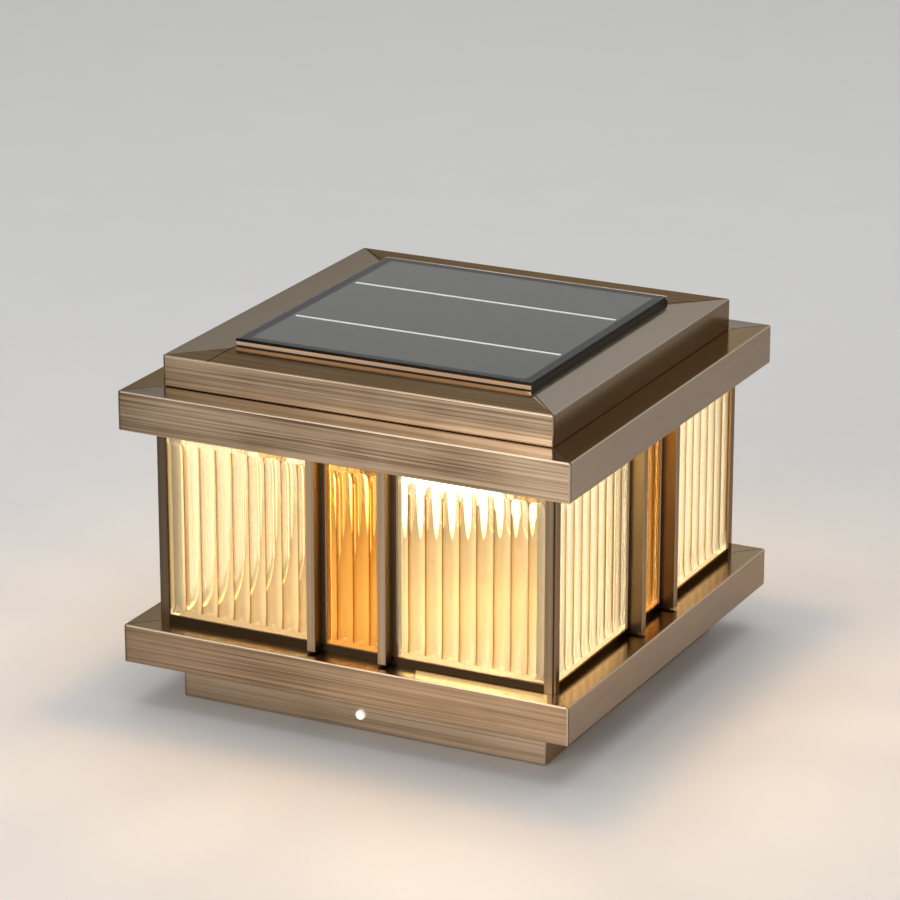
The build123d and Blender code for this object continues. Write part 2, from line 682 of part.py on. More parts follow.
def controller_board():
    """Charge controller on four standoffs, with its plugs, a coil and a chip."""
    board = block(
        CONTROLLER_LEFT, CONTROLLER_RIGHT, CONTROLLER_FRONT, CONTROLLER_BACK, CONTROLLER_LOW, CONTROLLER_HIGH
    )
    for x in (CONTROLLER_LEFT + STANDOFF_INSET, CONTROLLER_RIGHT - STANDOFF_INSET):
        for y in (CONTROLLER_FRONT + STANDOFF_INSET, CONTROLLER_BACK - STANDOFF_INSET):
            board = board + pin(x, y, CEILING_HIGH, CONTROLLER_LOW, STANDOFF_DIAMETER)
    plugs = [
        (BATTERY_PLUG_X, BACK_PLUG_Y),
        (SWITCH_PLUG_X, BACK_PLUG_Y),
        (LED_PLUG_X, led_lead_place()[1]),
        (CONTROLLER_X, PANEL_PLUG_Y),
    ]
    for x, y in plugs:
        board = board + connector(x, y)
    coil_x = CONTROLLER_RIGHT - STANDOFF_INSET - COIL_DIAMETER
    board = board + pin(coil_x, CONTROLLER_Y, CONTROLLER_HIGH, CONTROLLER_HIGH + COIL_HEIGHT, COIL_DIAMETER)
    chip_x = CHIP_LENGTH / 2
    chip_y = CHIP_WIDTH / 2
    chip = block(-chip_x, chip_x, -chip_y, chip_y, CONTROLLER_HIGH, CONTROLLER_HIGH + CHIP_HEIGHT)
    return board + Pos(CONTROLLER_X, CONTROLLER_Y, 0) * chip


def lead(*points):
    """Round two-core lead along straight runs with rounded bends."""
    path = FilletPolyline(*points, radius=LEAD_BEND)
    section = Plane(origin=path @ 0, z_dir=path % 0) * Circle(LEAD / 2)
    return sweep(section, path=path)


def wiring():
    """Leads from the controller to the battery, the lamp, the panel and the switch."""
    holder_end = BATTERY_X + HOLDER_LENGTH / 2
    battery = lead(
        (BATTERY_PLUG_X, CONTROLLER_BACK, CONNECTOR_LEVEL),
        (BATTERY_PLUG_X, BATTERY_Y, CONNECTOR_LEVEL),
        (holder_end, BATTERY_Y, CONNECTOR_LEVEL),
    )
    lamp_x, lamp_y = led_lead_place()
    lamp = lead(
        (CONTROLLER_LEFT, lamp_y, CONNECTOR_LEVEL),
        (lamp_x, lamp_y, CONNECTOR_LEVEL),
        (lamp_x, lamp_y, SINK_LOW),
    )
    plug_high = CONTROLLER_HIGH + CONNECTOR_HEIGHT
    turn_level = (plug_high + BOARD_LOW) / 2
    panel = lead(
        (CONTROLLER_X, PANEL_PLUG_Y, plug_high),
        (CONTROLLER_X, PANEL_PLUG_Y, turn_level),
        (CONTROLLER_X, PANEL_PLUG_Y + PANEL_LEAD_RUN, turn_level),
        (CONTROLLER_X, PANEL_PLUG_Y + PANEL_LEAD_RUN, BOARD_LOW),
    )
    switch_y = SOFFIT_Y - SWITCH_SIDE / 2
    turn_y = (CONTROLLER_BACK + switch_y) / 2
    switch = lead(
        (SWITCH_PLUG_X, CONTROLLER_BACK, CONNECTOR_LEVEL),
        (SWITCH_PLUG_X, turn_y - SWITCH_LEAD_JOG, CONNECTOR_LEVEL),
        (SWITCH_X, turn_y + SWITCH_LEAD_JOG, CONNECTOR_LEVEL),
        (SWITCH_X, switch_y, CONNECTOR_LEVEL),
    )
    return group([battery, lamp, panel, switch])


def power_switch():
    """Push switch through the eave's flange, with a bezel below and its body above the ceiling plate."""
    bezel_low = EAVE_LOW - SWITCH_BEZEL_HEIGHT
    side = SWITCH_SIDE / 2
    body = block(-side, side, -side, side, CEILING_HIGH, CEILING_HIGH + SWITCH_BODY_HEIGHT)
    body = body + pin(0, 0, EAVE_LOW, CEILING_HIGH, SWITCH_BUSH)
    body = body + pin(0, 0, bezel_low, EAVE_LOW, SWITCH_BEZEL)
    bore_high = EAVE_LOW + SWITCH_STEM + BUTTON_TRAVEL + SLIP
    body = body - pin(0, 0, bezel_low - CUT, bore_high, BUTTON_DIAMETER + 2 * SLIP)
    return Pos(SWITCH_X, SOFFIT_Y, 0) * body


def power_button():
    """Round button of the power switch, pressed upwards."""
    low = EAVE_LOW - SWITCH_BEZEL_HEIGHT - BUTTON_PROUD
    button = pin(SWITCH_X, SOFFIT_Y, low, EAVE_LOW + SWITCH_STEM, BUTTON_DIAMETER)
    return fillet(button.edges().group_by(Axis.Z)[0], BUTTON_ROUND)


def side_pieces():
    """Frames, fins and panes of the four sides, and the posts in the four corners."""
    spine_edge = FIN_CENTRE + SPINE_WIDTH / 2 + SLIP
    amber_edge = FIN_CENTRE - SPINE_WIDTH / 2 - SLIP
    post_edge = min(POST_INNER, PANE_BACK) - SLIP
    front = {
        "side_frame_{}": side_frame(),
        "amber_pane_{}": fluted_pane(-amber_edge, amber_edge, AMBER_FLUTES),
        "fin_{}_left": fin(-FIN_CENTRE),
        "fin_{}_right": fin(FIN_CENTRE),
        "clear_pane_{}_left": fluted_pane(-post_edge, -spine_edge, CLEAR_FLUTES),
        "clear_pane_{}_right": fluted_pane(spine_edge, post_edge, CLEAR_FLUTES),
    }
    pieces = {}
    for name, shape in front.items():
        for side, copy in zip(SIDES, turned(shape)):
            pieces[name.format(side)] = copy
    for corner, copy in zip(CORNERS, turned(corner_post())):
        pieces["corner_post_" + corner] = copy
    return pieces


nodes = {
    "mounting_plate": mounting_plate(),
    "plinth_skirt": plinth_skirt(),
    "plinth_screws": screws_from_below(PLINTH_SCREWS, TRAY_LOW - SHEET),
    "side_screws": side_screws(),
    "side_nuts": side_nuts(),
    "base_tray": base_tray(),
    "floor_reflector": floor_reflector(),
    "glazing_strips": glazing_strips(),
    "strip_screws": strip_screws(),
    "corner_angles": group(turned(corner_angle())),
    "tie_bolts": tie_bolts(),
    "tie_nuts": tie_nuts(),
    "roof_seal": roof_seal(),
    "ceiling_plate": ceiling_plate(),
    "ceiling_screws": screws_from_below(CEILING_SCREWS, EAVE_LOW),
    "eave_tray": eave_tray(),
    "cap_box": cap_box(),
    "cap_screws": screws_from_below(CAP_SCREWS, CAP_LOW - SHEET),
    "panel_gasket": panel_gasket(),
    "panel_board": panel_board(),
    "solar_cell": solar_cell(),
    "busbars": busbars(),
    "panel_glass": panel_glass(),
    "heat_sink": heat_sink(),
    "led_board": led_board(),
    "diffuser": diffuser(),
    "battery_cells": battery_cells(),
    "battery_holder": battery_holder(),
    "controller_board": controller_board(),
    "wiring": wiring(),
    "power_switch": power_switch(),
    "power_button": power_button(),
}
nodes.update(side_pieces())

os.makedirs("parts", exist_ok=True)
for name, shape in nodes.items():
    export_step(shape, os.path.join("parts", name + ".step"))
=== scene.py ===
import math

import bpy
import numpy as np
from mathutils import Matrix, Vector


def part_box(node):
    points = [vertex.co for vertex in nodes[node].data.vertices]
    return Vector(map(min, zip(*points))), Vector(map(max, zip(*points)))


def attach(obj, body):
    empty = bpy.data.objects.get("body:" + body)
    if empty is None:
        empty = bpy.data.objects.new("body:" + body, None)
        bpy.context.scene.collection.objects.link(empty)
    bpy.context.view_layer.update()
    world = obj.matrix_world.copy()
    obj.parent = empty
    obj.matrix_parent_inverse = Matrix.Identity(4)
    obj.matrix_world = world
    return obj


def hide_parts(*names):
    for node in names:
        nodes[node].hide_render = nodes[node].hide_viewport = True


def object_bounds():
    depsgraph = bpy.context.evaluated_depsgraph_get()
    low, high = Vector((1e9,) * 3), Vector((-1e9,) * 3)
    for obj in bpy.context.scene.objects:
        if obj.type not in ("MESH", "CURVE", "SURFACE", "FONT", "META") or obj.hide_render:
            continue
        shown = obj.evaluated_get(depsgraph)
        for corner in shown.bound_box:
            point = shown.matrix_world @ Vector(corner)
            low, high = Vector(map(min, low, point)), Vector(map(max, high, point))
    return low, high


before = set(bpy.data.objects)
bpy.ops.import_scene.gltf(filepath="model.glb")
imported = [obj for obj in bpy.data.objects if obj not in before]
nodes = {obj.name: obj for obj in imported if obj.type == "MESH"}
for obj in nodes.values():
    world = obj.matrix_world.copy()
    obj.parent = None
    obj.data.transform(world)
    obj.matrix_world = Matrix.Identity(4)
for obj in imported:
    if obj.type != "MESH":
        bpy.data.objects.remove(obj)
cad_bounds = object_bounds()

# Mounting plate on the pillar, pressed from steel sheet and zinc plated, held by four anchors.
# All hidden screws, nuts and tie bolts have the same zinc plating.


def add(tree, kind, inputs=None, **settings):
    """New shader node with its settings, and its inputs set or linked by name or index."""
    made = tree.nodes.new("ShaderNode" + kind)
    for key, value in settings.items():
        setattr(made, key, value)
    for key, value in (inputs or {}).items():
        if isinstance(value, bpy.types.NodeSocket):
            tree.links.new(value, made.inputs[key])
        else:
            made.inputs[key].default_value = value
    return made


def math_of(tree, operation, first, second=0.0, third=0.0):
    """Output of a Math node on two or three values or sockets."""
    return add(tree, "Math", {0: first, 1: second, 2: third}, operation=operation).outputs[0]


def ramp_of(tree, factor, *stops):
    """Colour output of a ramp with (position, red, green, blue) stops."""
    ramp = add(tree, "ValToRGB", {"Fac": factor})
    while len(ramp.color_ramp.elements) < len(stops):
        ramp.color_ramp.elements.new(1.0)
    for element, stop in zip(ramp.color_ramp.elements, stops):
        element.position = stop[0]
        element.color = (*stop[1:], 1.0)
    return ramp.outputs["Color"]


def span_of(tree, value, low, high):
    """Value from 0 to 1 moved to the span from low to high."""
    return add(tree, "MapRange", {"Value": value, "To Min": low, "To Max": high}).outputs["Result"]


def new_material(name, **sockets):
    """Material with one Principled shader and these sockets set; returns it, its tree and the shader."""
    made = bpy.data.materials.new(name)
    made.use_nodes = True
    shader = made.node_tree.nodes["Principled BSDF"]
    for key, value in sockets.items():
        shader.inputs[key.replace("_", " ")].default_value = value
    return made, made.node_tree, shader


def dress(material, *names):
    """Gives the CAD nodes of these names a material."""
    for name in names:
        mesh = nodes[name].data
        mesh.materials.clear()
        mesh.materials.append(material)


def speckle_group():
    """Node group: cloudy noise and fine grain over a surface, from object coordinates, each from 0 to 1."""
    group = bpy.data.node_groups.new("speckle", "ShaderNodeTree")
    face = group.interface
    for name, value in (("Cloud Scale", 40.0), ("Grain Scale", 900.0)):
        face.new_socket(name, in_out="INPUT", socket_type="NodeSocketFloat").default_value = value
    for name in ("Cloud", "Grain"):
        face.new_socket(name, in_out="OUTPUT", socket_type="NodeSocketFloat")
    given = group.nodes.new("NodeGroupInput").outputs
    result = group.nodes.new("NodeGroupOutput").inputs
    place = add(group, "TexCoord").outputs["Object"]
    cloud = add(group, "TexNoise", {"Vector": place, "Scale": given["Cloud Scale"], "Detail": 4.0})
    grain = add(group, "TexNoise", {"Vector": place, "Scale": given["Grain Scale"], "Detail": 2.0})
    group.links.new(cloud.outputs["Fac"], result["Cloud"])
    group.links.new(grain.outputs["Fac"], result["Grain"])
    return group


SPECKLE = speckle_group()
DENT_DEPTH = 0.0002


def speckled(name, dark, light, rough, cloud=40.0, grain=900.0, bump=0.0, **sockets):
    """Material whose colour drifts between two tones and whose roughness drifts over a span."""
    made, tree, shader = new_material(name, **sockets)
    spots = add(tree, "Group", {"Cloud Scale": cloud, "Grain Scale": grain}, node_tree=SPECKLE).outputs
    half_cloud = math_of(tree, "MULTIPLY", spots["Cloud"], 0.5)
    mixed = math_of(tree, "MULTIPLY_ADD", spots["Grain"], 0.5, half_cloud)
    tree.links.new(ramp_of(tree, mixed, (0.3, *dark), (0.7, *light)), shader.inputs["Base Color"])
    tree.links.new(span_of(tree, spots["Cloud"], *rough), shader.inputs["Roughness"])
    if bump:
        dents = add(tree, "Bump", {"Strength": bump, "Distance": DENT_DEPTH, "Height": spots["Grain"]})
        tree.links.new(dents.outputs["Normal"], shader.inputs["Normal"])
    return made


zinc = speckled("zinc_plating", (0.50, 0.51, 0.53), (0.66, 0.67, 0.68), (0.28, 0.45), Metallic=1.0)
dress(zinc, "mounting_plate", "plinth_screws", "side_nuts", "tie_bolts", "tie_nuts")
dress(zinc, "ceiling_screws", "cap_screws", "strip_screws")

# Plinth and base tray: boxes folded from brass-coloured steel sheet, brushed along their length.
# They are patinated brown, rubbed through to tan streaks and lacquered, and screwed together inside.
STREAK_LENGTH = 6.0
STREAK_WIDTH = 850.0
HAIR_STRETCH = (2.5, 5.0, 1.0)
FACE_SEEDS = (3.1, 5.7)
LEVEL_LIMIT = 0.7
FLAT_LIMIT = 0.985
BEND_LIMIT = 0.9
DRIFT_SCALE = 14.0
# Reach and curve of the painted fade of light across the bronze, darker at the left and lighter at the
# right.
PAINTED_FADE_REACH = cad_bounds[1][0]
PAINTED_FADE_CURVE = 0.6


def blend_of(tree, factor, first, second):
    """Value output of a Mix node between two values or sockets."""
    return add(tree, "Mix", {0: factor, 2: first, 3: second}).outputs[0]


def mix_of(tree, factor, first, second):
    """Colour output of a Mix node between two colours or sockets."""
    return add(tree, "Mix", {0: factor, 6: first, 7: second}, data_type="RGBA").outputs[2]


def share_of(tree, value, start, end, most=1.0):
    """How far a value has come from start to end, from 0 to the most."""
    given = {"Value": value, "From Min": start, "From Max": end, "To Max": most}
    return add(tree, "MapRange", given).outputs["Result"]


def brushed_group():
    """Node group: streaks of a wire brush along each face, from object coordinates and normals.

    The length runs along X on front and back, along Y on the sides, and along the rim on a top
    face, split at the mitres; Upright turns it to Z on standing faces. Streak is broad and Hair
    is fine. Front is 1 on front and back, Top on level faces, Wide where the length runs along X,
    and Edge on rounded bends, where no part of the normal is close to 1. Across is the place from
    left to right, from 0 to 1, steeper at the left.
    """
    group = bpy.data.node_groups.new("brushed", "ShaderNodeTree")
    face = group.interface
    for name, value in (("Length Scale", STREAK_LENGTH), ("Width Scale", STREAK_WIDTH), ("Upright", 0.0)):
        face.new_socket(name, in_out="INPUT", socket_type="NodeSocketFloat").default_value = value
    given = group.nodes.new("NodeGroupInput").outputs
    coordinates = add(group, "TexCoord").outputs
    place = add(group, "SeparateXYZ", {0: coordinates["Object"]}).outputs
    normal = add(group, "SeparateXYZ", {0: coordinates["Normal"]}).outputs
    size = [math_of(group, "ABSOLUTE", socket) for socket in normal]
    reach = [math_of(group, "ABSOLUTE", socket) for socket in place]
    top = math_of(group, "GREATER_THAN", size[2], LEVEL_LIMIT)
    side = math_of(group, "SUBTRACT", 1.0, top)
    front = math_of(group, "GREATER_THAN", size[1], size[0])
    rim = math_of(group, "GREATER_THAN", reach[1], reach[0])
    wide = blend_of(group, top, front, rim)
    level = blend_of(group, wide, place[1], place[0])
    inward = blend_of(group, wide, place[0], place[1])
    turned = math_of(group, "MULTIPLY", given["Upright"], side)
    along = blend_of(group, turned, level, place[2])
    across = blend_of(group, turned, blend_of(group, top, place[2], inward), level)
    side_seed = math_of(group, "MULTIPLY", normal[1], FACE_SEEDS[1])
    seed = math_of(group, "MULTIPLY_ADD", normal[0], FACE_SEEDS[0], side_seed)
    length = math_of(group, "MULTIPLY", along, given["Length Scale"])
    width = math_of(group, "MULTIPLY", across, given["Width Scale"])
    broad = add(group, "CombineXYZ", {0: length, 1: width, 2: seed}).outputs[0]
    fine = add(group, "VectorMath", {0: broad, 1: HAIR_STRETCH}, operation="MULTIPLY").outputs[0]
    streak = add(group, "TexNoise", {"Vector": broad, "Scale": 1.0, "Detail": 3.0, "Roughness": 0.6})
    hair = add(group, "TexNoise", {"Vector": fine, "Scale": 1.0, "Detail": 2.0})
    cloud = add(group, "TexNoise", {"Vector": coordinates["Object"], "Scale": DRIFT_SCALE, "Detail": 3.0})
    largest = math_of(group, "MAXIMUM", size[2], math_of(group, "MAXIMUM", size[0], size[1]))
    from_left = share_of(group, place[0], -PAINTED_FADE_REACH, PAINTED_FADE_REACH)
    results = {
        "Streak": streak.outputs["Fac"],
        "Hair": hair.outputs["Fac"],
        "Cloud": cloud.outputs["Fac"],
        "Front": math_of(group, "MULTIPLY", front, side),
        "Top": top,
        "Wide": wide,
        "Edge": share_of(group, largest, FLAT_LIMIT, BEND_LIMIT),
        "Across": math_of(group, "POWER", from_left, PAINTED_FADE_CURVE),
    }
    for name in results:
        face.new_socket(name, in_out="OUTPUT", socket_type="NodeSocketFloat")
    wanted = group.nodes.new("NodeGroupOutput").inputs
    for name, socket in results.items():
        group.links.new(socket, wanted[name])
    return group


BRUSHED = brushed_group()
GRAZING_TINT = (0.62, 0.52, 0.42, 1.0)
TONE_STOPS = (0.25, 0.5, 0.75)
STREAK_WEIGHT = 0.75
HAIR_WEIGHT = 0.35
CLOUD_WEIGHT = 0.35
QUIET_SHARE = 0.35
# Slants at which level faces change from the front tones to their painted reflection tones.
PAINTED_REFLECTION_SLANTS = (0.2, 0.55)
FRONT_ROUGHNESS = 0.12
HAIR_ROUGHNESS = (0.14, 0.24)
SCRATCH_DEPTH = 0.0001
INWARD_LIMIT = -0.05


def slant_of(tree):
    """How far the surface is seen at a slant, 0 straight on and 1 at its edge."""
    return add(tree, "LayerWeight", {"Blend": 0.5}).outputs["Facing"]


def outward_of(tree):
    """Distance of a face's plane from the origin, negative where it faces inwards, and the height on it."""
    coordinates = add(tree, "TexCoord").outputs
    both = {0: coordinates["Object"], 1: coordinates["Normal"]}
    outward = add(tree, "VectorMath", both, operation="DOT_PRODUCT").outputs["Value"]
    return outward, add(tree, "SeparateXYZ", {0: coordinates["Object"]}).outputs["Z"]


def brushed_bronze(
    name, tones, edge, shine=0.8, contrast=1.2, upright=0.0, polish=0.06, fade=(0.62, 1.2), sill=None
):
    """Lacquered bronze: dark, middle and light tones for front and back, the sides, and rims along X and Y.

    Streaks are strong where they run along X and quieter elsewhere. The tone sets are copies of one bronze
    for how light falls on each face: painted light and shade on the sides, painted reflection on the rims.
    Shine is how far the bends are mixed to the edge tone, partly wear and partly a painted highlight, and
    polish how much smoother the level faces are. Fade is painted light: it darkens the tones at the left
    and lightens them at the right. Sill is a height and the tones that the bronze has below it, outside and
    inside. Seen at a slant the rims take their painted reflection tones; seen from above they have the
    tones of the front.
    """
    made, tree, shader = new_material(name, Metallic=1.0, Specular_Tint=GRAZING_TINT)
    brush = add(tree, "Group", {"Upright": upright}, node_tree=BRUSHED).outputs
    strength = span_of(tree, brush["Wide"], QUIET_SHARE * contrast, contrast)
    streaks = math_of(tree, "MULTIPLY", brush["Streak"], STREAK_WEIGHT)
    lines = math_of(tree, "MULTIPLY_ADD", brush["Hair"], HAIR_WEIGHT, streaks)
    drift = math_of(tree, "MULTIPLY_ADD", brush["Cloud"], CLOUD_WEIGHT, lines)
    mean = (STREAK_WEIGHT + HAIR_WEIGHT + CLOUD_WEIGHT) / 2
    level = math_of(tree, "MULTIPLY_ADD", math_of(tree, "SUBTRACT", drift, mean), strength, 0.5)
    front, side, rim_x, rim_y = [
        ramp_of(tree, level, *[(stop, *tone) for stop, tone in zip(TONE_STOPS, given)]) for given in tones
    ]
    standing = mix_of(tree, brush["Wide"], side, front)
    lying = mix_of(tree, brush["Wide"], rim_y, rim_x)
    # Painted reflection: level faces seen at a slant take the rim tones.
    lying = mix_of(tree, share_of(tree, slant_of(tree), *PAINTED_REFLECTION_SLANTS), front, lying)
    colour = mix_of(tree, brush["Top"], standing, lying)
    # Painted light: the tones darken towards the left and lighten towards the right.
    faded = 1.0 if upright else math_of(tree, "MAXIMUM", brush["Wide"], brush["Top"])
    painted_fade = blend_of(tree, faded, 1.0, span_of(tree, brush["Across"], *fade))
    colour = add(tree, "VectorMath", {0: colour, "Scale": painted_fade}, operation="SCALE").outputs[0]
    # Bends mixed to the edge tone: partly wear, partly a painted highlight.
    colour = mix_of(tree, math_of(tree, "MULTIPLY", brush["Edge"], shine), colour, (*edge, 1.0))
    if sill:
        limit, outer, inner = sill
        outward, height = outward_of(tree)
        inside = math_of(tree, "LESS_THAN", outward, INWARD_LIMIT)
        low = mix_of(tree, inside, (*outer, 1.0), (*inner, 1.0))
        colour = mix_of(tree, math_of(tree, "LESS_THAN", height, limit), colour, low)
    tree.links.new(colour, shader.inputs["Base Color"])
    hair_rough = span_of(tree, brush["Hair"], *HAIR_ROUGHNESS)
    rough = math_of(tree, "MULTIPLY_ADD", brush["Front"], FRONT_ROUGHNESS, hair_rough)
    rough = math_of(tree, "MULTIPLY_ADD", brush["Top"], -polish, rough)
    tree.links.new(rough, shader.inputs["Roughness"])
    scratch = add(tree, "Bump", {"Strength": 0.1, "Distance": SCRATCH_DEPTH, "Height": brush["Hair"]})
    tree.links.new(scratch.outputs["Normal"], shader.inputs["Normal"])
    return made


# Tone sets per face of one bronze. The side tones are painted light: a greyer, flatter copy for how light
# falls on the sides. The ledge tones are a painted reflection, and the plinth tones are painted brighter
# for the light the plinth reflects. The bend tone is partly wear and partly a painted highlight.
RUBBED_TONES = ((0.10, 0.065, 0.038), (0.41, 0.29, 0.183), (0.66, 0.505, 0.36))
SIDE_LIGHT_TONES = ((0.34, 0.275, 0.22), (0.43, 0.36, 0.30), (0.52, 0.445, 0.375))
LEDGE_REFLECTION_TONES = ((0.34, 0.26, 0.18), (0.44, 0.35, 0.25), (0.54, 0.44, 0.33))
PLINTH_LIT_TONES = ((0.25, 0.17, 0.105), (0.63, 0.455, 0.295), (0.83, 0.635, 0.44))
BEND_WEAR_AND_HIGHLIGHT = (0.74, 0.58, 0.42)
plinth_faces = (PLINTH_LIT_TONES, PLINTH_LIT_TONES, LEDGE_REFLECTION_TONES, LEDGE_REFLECTION_TONES)
dress(brushed_bronze("plinth_bronze", plinth_faces, BEND_WEAR_AND_HIGHLIGHT, contrast=0.9), "plinth_skirt")
tray_faces = (RUBBED_TONES, SIDE_LIGHT_TONES, LEDGE_REFLECTION_TONES, LEDGE_REFLECTION_TONES)
tray_bronze = brushed_bronze(
    "tray_bronze", tray_faces, BEND_WEAR_AND_HIGHLIGHT, contrast=0.9, polish=-0.01, fade=(0.62, 1.1)
)
dress(tray_bronze, "base_tray")

# Locking screws in the middle of each side of the plinth: bright nickel-plated steel.
# Their round heads are nearly white, and they clamp the lamp to the tabs of the mounting plate.
# The heads glow faintly: a painted glint.
PAINTED_GLINT = (1.0, 0.97, 0.92, 1.0)
nickel = speckled(
    "nickel_painted_glint",
    (0.92, 0.92, 0.91),
    (0.98, 0.98, 0.97),
    (0.2, 0.3),
    Emission_Color=PAINTED_GLINT,
    Emission_Strength=0.5,
)
dress(nickel, "side_screws")

# Floor of the lantern: a loose sheet with a warm champagne enamel that throws the light back up.
# The angles in the corners behind the panes have the same enamel.
floor_enamel = speckled("champagne_enamel", (0.22, 0.165, 0.095), (0.29, 0.22, 0.13), (0.35, 0.5))
dress(floor_enamel, "floor_reflector", "corner_angles")

# Corner posts and face frames: square tube and plate, welded, chemically darkened and lacquered.
# The tie bolts run through the posts. The lowest rails are nearly black outside and pale inside.
SIDES = ("front", "right", "back", "left")
CORNERS = ("front_right", "back_right", "back_left", "front_left")
DARK_TONES = ((0.08, 0.055, 0.035), (0.145, 0.105, 0.068), (0.21, 0.16, 0.105))
DARK_BEND_WEAR_AND_HIGHLIGHT = (0.40, 0.31, 0.22)
SILL_TONE = (0.045, 0.033, 0.022)
INNER_TONE = (0.80, 0.68, 0.46)
SILL_TOP = 0.0470
# Posts and frames take a strong painted fade of light, dark at the left and light at the right; their bend
# tone is partly wear and partly a painted highlight.
dark_look = {"contrast": 0.6, "upright": 1.0, "fade": (0.5, 1.9)}
dark_bronze = brushed_bronze("dark_bronze", [DARK_TONES] * 4, DARK_BEND_WEAR_AND_HIGHLIGHT, **dark_look)
dress(dark_bronze, *["corner_post_" + corner for corner in CORNERS])
dark_look["sill"] = (SILL_TOP, SILL_TONE, INNER_TONE)
frame_bronze = brushed_bronze("frame_bronze", [DARK_TONES] * 4, DARK_BEND_WEAR_AND_HIGHLIGHT, **dark_look)
dress(frame_bronze, *["side_frame_" + side for side in SIDES])

# Fins: solid bars fixed to the face frames on either side of the amber panes.
# Their fronts are painted light as lit faces and their flanks dark as painted shade, lighter upwards as a
# painted glow of the panes.
FLANK_REACH = 0.06
FACE_REACH = 0.10
# Heights over which the painted shade on the flanks lightens into a painted glow.
FLANK_GLOW_LOW = 0.045
FLANK_GLOW_HIGH = 0.145
FRONT_STOPS = ((0.3, 0.31, 0.225, 0.14), (0.7, 0.46, 0.345, 0.225))
FLANK_SHADE_AND_GLOW_STOPS = ((0.0, 0.15, 0.105, 0.058), (0.5, 0.21, 0.152, 0.085), (1.0, 0.40, 0.29, 0.15))
FIN_ROUGHNESS = (0.33, 0.39)


def fin_bronze():
    """Bronze bar brushed upright: a light front, and darker flanks that fade downwards.

    Front and flanks are told apart by how far out their planes lie.
    """
    made, tree, shader = new_material("fin_bronze", Metallic=1.0, Specular_Tint=GRAZING_TINT)
    brush = add(tree, "Group", {"Upright": 1.0}, node_tree=BRUSHED).outputs
    outward, height = outward_of(tree)
    facing = share_of(tree, outward, FLANK_REACH, FACE_REACH)
    # Lit front and shaded flanks: painted light and shade.
    lit_front = ramp_of(tree, brush["Streak"], *FRONT_STOPS)
    flank = ramp_of(tree, share_of(tree, height, FLANK_GLOW_LOW, FLANK_GLOW_HIGH), *FLANK_SHADE_AND_GLOW_STOPS)
    tree.links.new(mix_of(tree, facing, flank, lit_front), shader.inputs["Base Color"])
    tree.links.new(span_of(tree, brush["Hair"], *FIN_ROUGHNESS), shader.inputs["Roughness"])
    return made


ENDS = ("left", "right")
dress(fin_bronze(), *["fin_" + side + "_" + end for side in SIDES for end in ENDS])

# Fluted panes: pressed glass, flat inside and hollowed into flutes outside, held in the frames by strips.
# The wide panes are clear with a faint warm tint and the narrow middle ones are amber.
# The flutes end round, a little before the edges of the pane.
CLEAR_FLUTES = 9
AMBER_FLUTES = 4
FLUTE_DEPTH = 0.0018
FLUTE_STEPS = 16
END_FLAT = 0.006
END_LENGTH = 0.010
END_STEPS = 10
RIDGE_START = 0.3
SHARP_ANGLE = math.radians(40)


def fluted_pane(name, node, flutes):
    """Closed pane filling a CAD pane's box: grid of points across the flutes by the outline of its section.

    At share s across, the face is hollowed by a circular arc over the flute it is in, as deep as the flute
    depth in the middle and nothing at the ridges. Towards both ends the arc rises along a quarter ellipse
    until it leaves the glass, so that each flute ends round. The back is flat. The ridge attribute grows
    from 0 in the middle of a flute to 1 at its ridges.
    """
    low, high = (np.array(corner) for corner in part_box(node))
    thin = int(np.argmin(high - low))
    wide = 1 - thin
    outward = np.sign(low[thin] + high[thin])
    front, back = (high[thin], low[thin]) if outward > 0 else (low[thin], high[thin])
    count = flutes * FLUTE_STEPS + 1
    share = np.linspace(0.0, 1.0, count)
    pitch = (high[wide] - low[wide]) / flutes
    radius = pitch**2 / (8 * FLUTE_DEPTH) + FLUTE_DEPTH / 2
    from_middle = ((np.arange(count) % FLUTE_STEPS) / FLUTE_STEPS - 0.5) * pitch
    arc = np.sqrt(radius**2 - from_middle**2) - (radius - FLUTE_DEPTH)
    angle = np.linspace(0.0, np.pi / 2, END_STEPS)
    rise = END_FLAT + END_LENGTH * (1 - np.cos(angle))
    heights = np.concatenate([low[2:], low[2] + rise, high[2] - rise[::-1], high[2:]])
    deep = np.concatenate([[0.0], np.sin(angle), np.sin(angle)[::-1], [0.0]])
    hollow = np.maximum(arc[:, None] - FLUTE_DEPTH * (1 - deep), 0.0)
    rows = len(heights)
    points = np.empty((count, rows + 2, 3))
    points[:, :, wide] = (low[wide] + share * (high[wide] - low[wide]))[:, None]
    points[:, :rows, thin] = front - outward * hollow
    points[:, rows:, thin] = back
    points[:, :, 2] = np.concatenate([heights, high[2:], low[2:]])
    index = np.arange(count * (rows + 2)).reshape(count, rows + 2)
    ahead = np.roll(index, -1, axis=1)
    faces = np.stack([index[:-1], ahead[:-1], ahead[1:], index[1:]], axis=-1).reshape(-1, 4)
    ends = np.stack([index[0, ::-1], index[-1]])
    if outward * (1 if wide == 0 else -1) < 0:
        faces = faces[:, ::-1]
        ends = ends[:, ::-1]
    mesh = bpy.data.meshes.new(name)
    mesh.from_pydata(points.reshape(-1, 3).tolist(), [], faces.tolist() + ends.tolist())
    mesh.validate()
    mesh.shade_smooth()
    mesh.set_sharp_from_angle(angle=SHARP_ANGLE)
    ridge = np.zeros((count, rows + 2))
    ridge[:, :rows] = np.abs(from_middle)[:, None] * 2 / pitch * (deep > RIDGE_START)
    mesh.attributes.new("ridge", "FLOAT", "POINT").data.foreach_set("value", ridge.ravel())
    pane = bpy.data.objects.new(name, mesh)
    bpy.context.scene.collection.objects.link(pane)
    pane.visible_shadow = False
    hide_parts(node)
    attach(pane, "lantern")
    return pane


